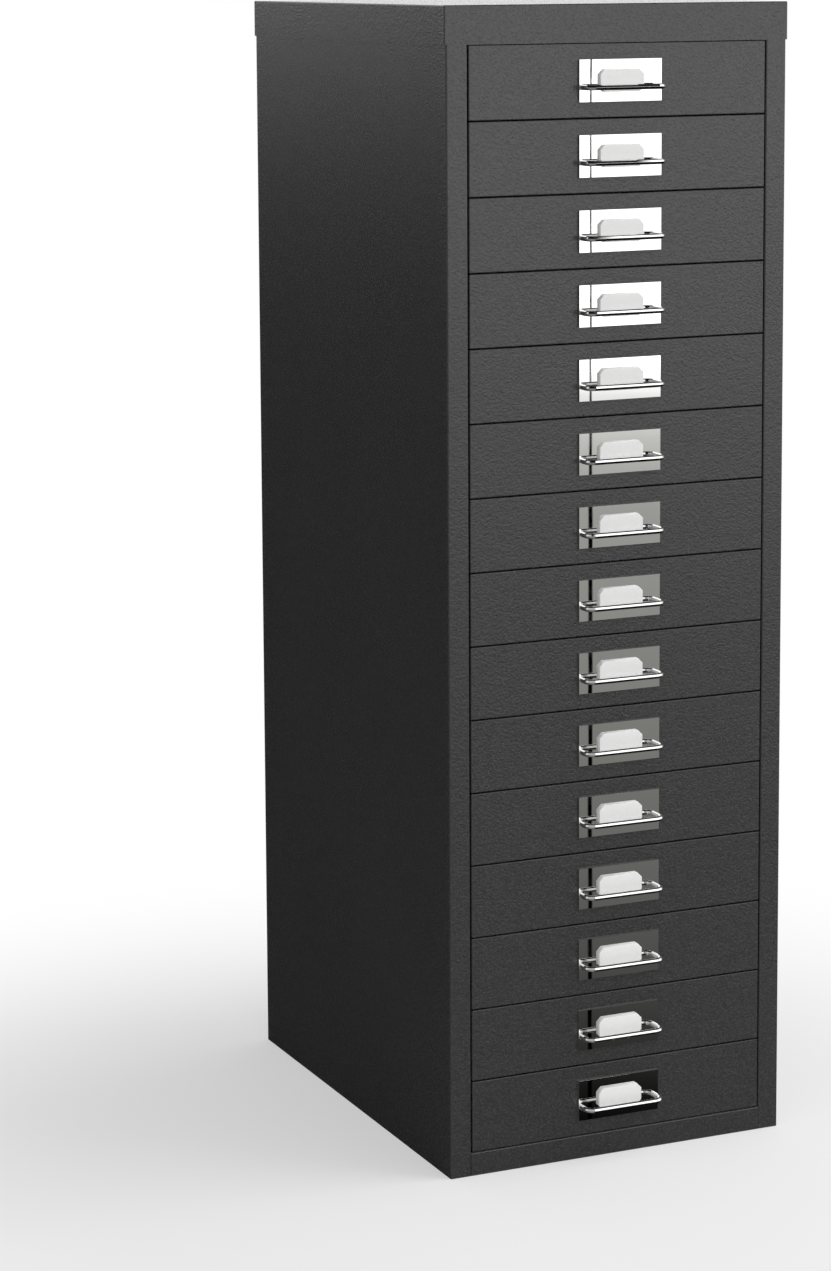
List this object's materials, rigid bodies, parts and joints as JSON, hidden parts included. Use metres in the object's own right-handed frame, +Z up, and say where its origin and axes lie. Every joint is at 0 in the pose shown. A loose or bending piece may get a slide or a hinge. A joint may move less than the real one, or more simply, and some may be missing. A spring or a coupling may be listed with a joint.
{
  "type": "multi-drawer cabinet",
  "caption": "Tall narrow steel cabinet of equal shallow drawers on channel runners, with round bar pulls and label tabs.",
  "frame": {"origin": "on the floor, under the middle of the body without the pulls", "axes": "+Z up, front and pulls towards -Y, +X to the right seen from the front"},
  "size_m": [0.279, 0.38, 0.86],
  "materials": {
    "carcass_paint": "fine sand-textured powder coat, dark graphite grey",
    "drawer_paint": "fine sand-textured powder coat, dark graphite grey",
    "runner_steel": "zinc plated, dull",
    "pull_chrome": "bright chrome plate",
    "label_white": "satin white"
  },
  "bodies": {
    "cabinet": {"top_cap": "carcass_paint", "left_side": "carcass_paint", "right_side": "carcass_paint", "back_panel": "carcass_paint", "base_pan": "carcass_paint", "bottom_rail": "carcass_paint", "left_uprights": "carcass_paint", "right_uprights": "carcass_paint", "left_runners": "runner_steel", "right_runners": "runner_steel"},
    "drawer_01": {"drawer_tray_01": "drawer_paint", "drawer_pull_01": "pull_chrome", "drawer_label_01": "label_white"},
    "drawer_02": {"drawer_tray_02": "drawer_paint", "drawer_pull_02": "pull_chrome", "drawer_label_02": "label_white"},
    "drawer_03": {"drawer_tray_03": "drawer_paint", "drawer_pull_03": "pull_chrome", "drawer_label_03": "label_white"},
    "drawer_04": {"drawer_tray_04": "drawer_paint", "drawer_pull_04": "pull_chrome", "drawer_label_04": "label_white"},
    "drawer_05": {"drawer_tray_05": "drawer_paint", "drawer_pull_05": "pull_chrome", "drawer_label_05": "label_white"},
    "drawer_06": {"drawer_tray_06": "drawer_paint", "drawer_pull_06": "pull_chrome", "drawer_label_06": "label_white"},
    "drawer_07": {"drawer_tray_07": "drawer_paint", "drawer_pull_07": "pull_chrome", "drawer_label_07": "label_white"},
    "drawer_08": {"drawer_tray_08": "drawer_paint", "drawer_pull_08": "pull_chrome", "drawer_label_08": "label_white"},
    "drawer_09": {"drawer_tray_09": "drawer_paint", "drawer_pull_09": "pull_chrome", "drawer_label_09": "label_white"},
    "drawer_10": {"drawer_tray_10": "drawer_paint", "drawer_pull_10": "pull_chrome", "drawer_label_10": "label_white"},
    "drawer_11": {"drawer_tray_11": "drawer_paint", "drawer_pull_11": "pull_chrome", "drawer_label_11": "label_white"},
    "drawer_12": {"drawer_tray_12": "drawer_paint", "drawer_pull_12": "pull_chrome", "drawer_label_12": "label_white"},
    "drawer_13": {"drawer_tray_13": "drawer_paint", "drawer_pull_13": "pull_chrome", "drawer_label_13": "label_white"},
    "drawer_14": {"drawer_tray_14": "drawer_paint", "drawer_pull_14": "pull_chrome", "drawer_label_14": "label_white"},
    "drawer_15": {"drawer_tray_15": "drawer_paint", "drawer_pull_15": "pull_chrome", "drawer_label_15": "label_white"}
  },
  "joints": [
    {"name": "drawer_01_slide", "type": "slide", "parent": "cabinet", "child": "drawer_01", "axis": [0, -1, 0], "range_m": [0, 0.29]},
    {"name": "drawer_02_slide", "type": "slide", "parent": "cabinet", "child": "drawer_02", "axis": [0, -1, 0], "range_m": [0, 0.29]},
    {"name": "drawer_03_slide", "type": "slide", "parent": "cabinet", "child": "drawer_03", "axis": [0, -1, 0], "range_m": [0, 0.29]},
    {"name": "drawer_04_slide", "type": "slide", "parent": "cabinet", "child": "drawer_04", "axis": [0, -1, 0], "range_m": [0, 0.29]},
    {"name": "drawer_05_slide", "type": "slide", "parent": "cabinet", "child": "drawer_05", "axis": [0, -1, 0], "range_m": [0, 0.29]},
    {"name": "drawer_06_slide", "type": "slide", "parent": "cabinet", "child": "drawer_06", "axis": [0, -1, 0], "range_m": [0, 0.29]},
    {"name": "drawer_07_slide", "type": "slide", "parent": "cabinet", "child": "drawer_07", "axis": [0, -1, 0], "range_m": [0, 0.29]},
    {"name": "drawer_08_slide", "type": "slide", "parent": "cabinet", "child": "drawer_08", "axis": [0, -1, 0], "range_m": [0, 0.29]},
    {"name": "drawer_09_slide", "type": "slide", "parent": "cabinet", "child": "drawer_09", "axis": [0, -1, 0], "range_m": [0, 0.29]},
    {"name": "drawer_10_slide", "type": "slide", "parent": "cabinet", "child": "drawer_10", "axis": [0, -1, 0], "range_m": [0, 0.29]},
    {"name": "drawer_11_slide", "type": "slide", "parent": "cabinet", "child": "drawer_11", "axis": [0, -1, 0], "range_m": [0, 0.29]},
    {"name": "drawer_12_slide", "type": "slide", "parent": "cabinet", "child": "drawer_12", "axis": [0, -1, 0], "range_m": [0, 0.29]},
    {"name": "drawer_13_slide", "type": "slide", "parent": "cabinet", "child": "drawer_13", "axis": [0, -1, 0], "range_m": [0, 0.29]},
    {"name": "drawer_14_slide", "type": "slide", "parent": "cabinet", "child": "drawer_14", "axis": [0, -1, 0], "range_m": [0, 0.29]},
    {"name": "drawer_15_slide", "type": "slide", "parent": "cabinet", "child": "drawer_15", "axis": [0, -1, 0], "range_m": [0, 0.29]}
  ]
}
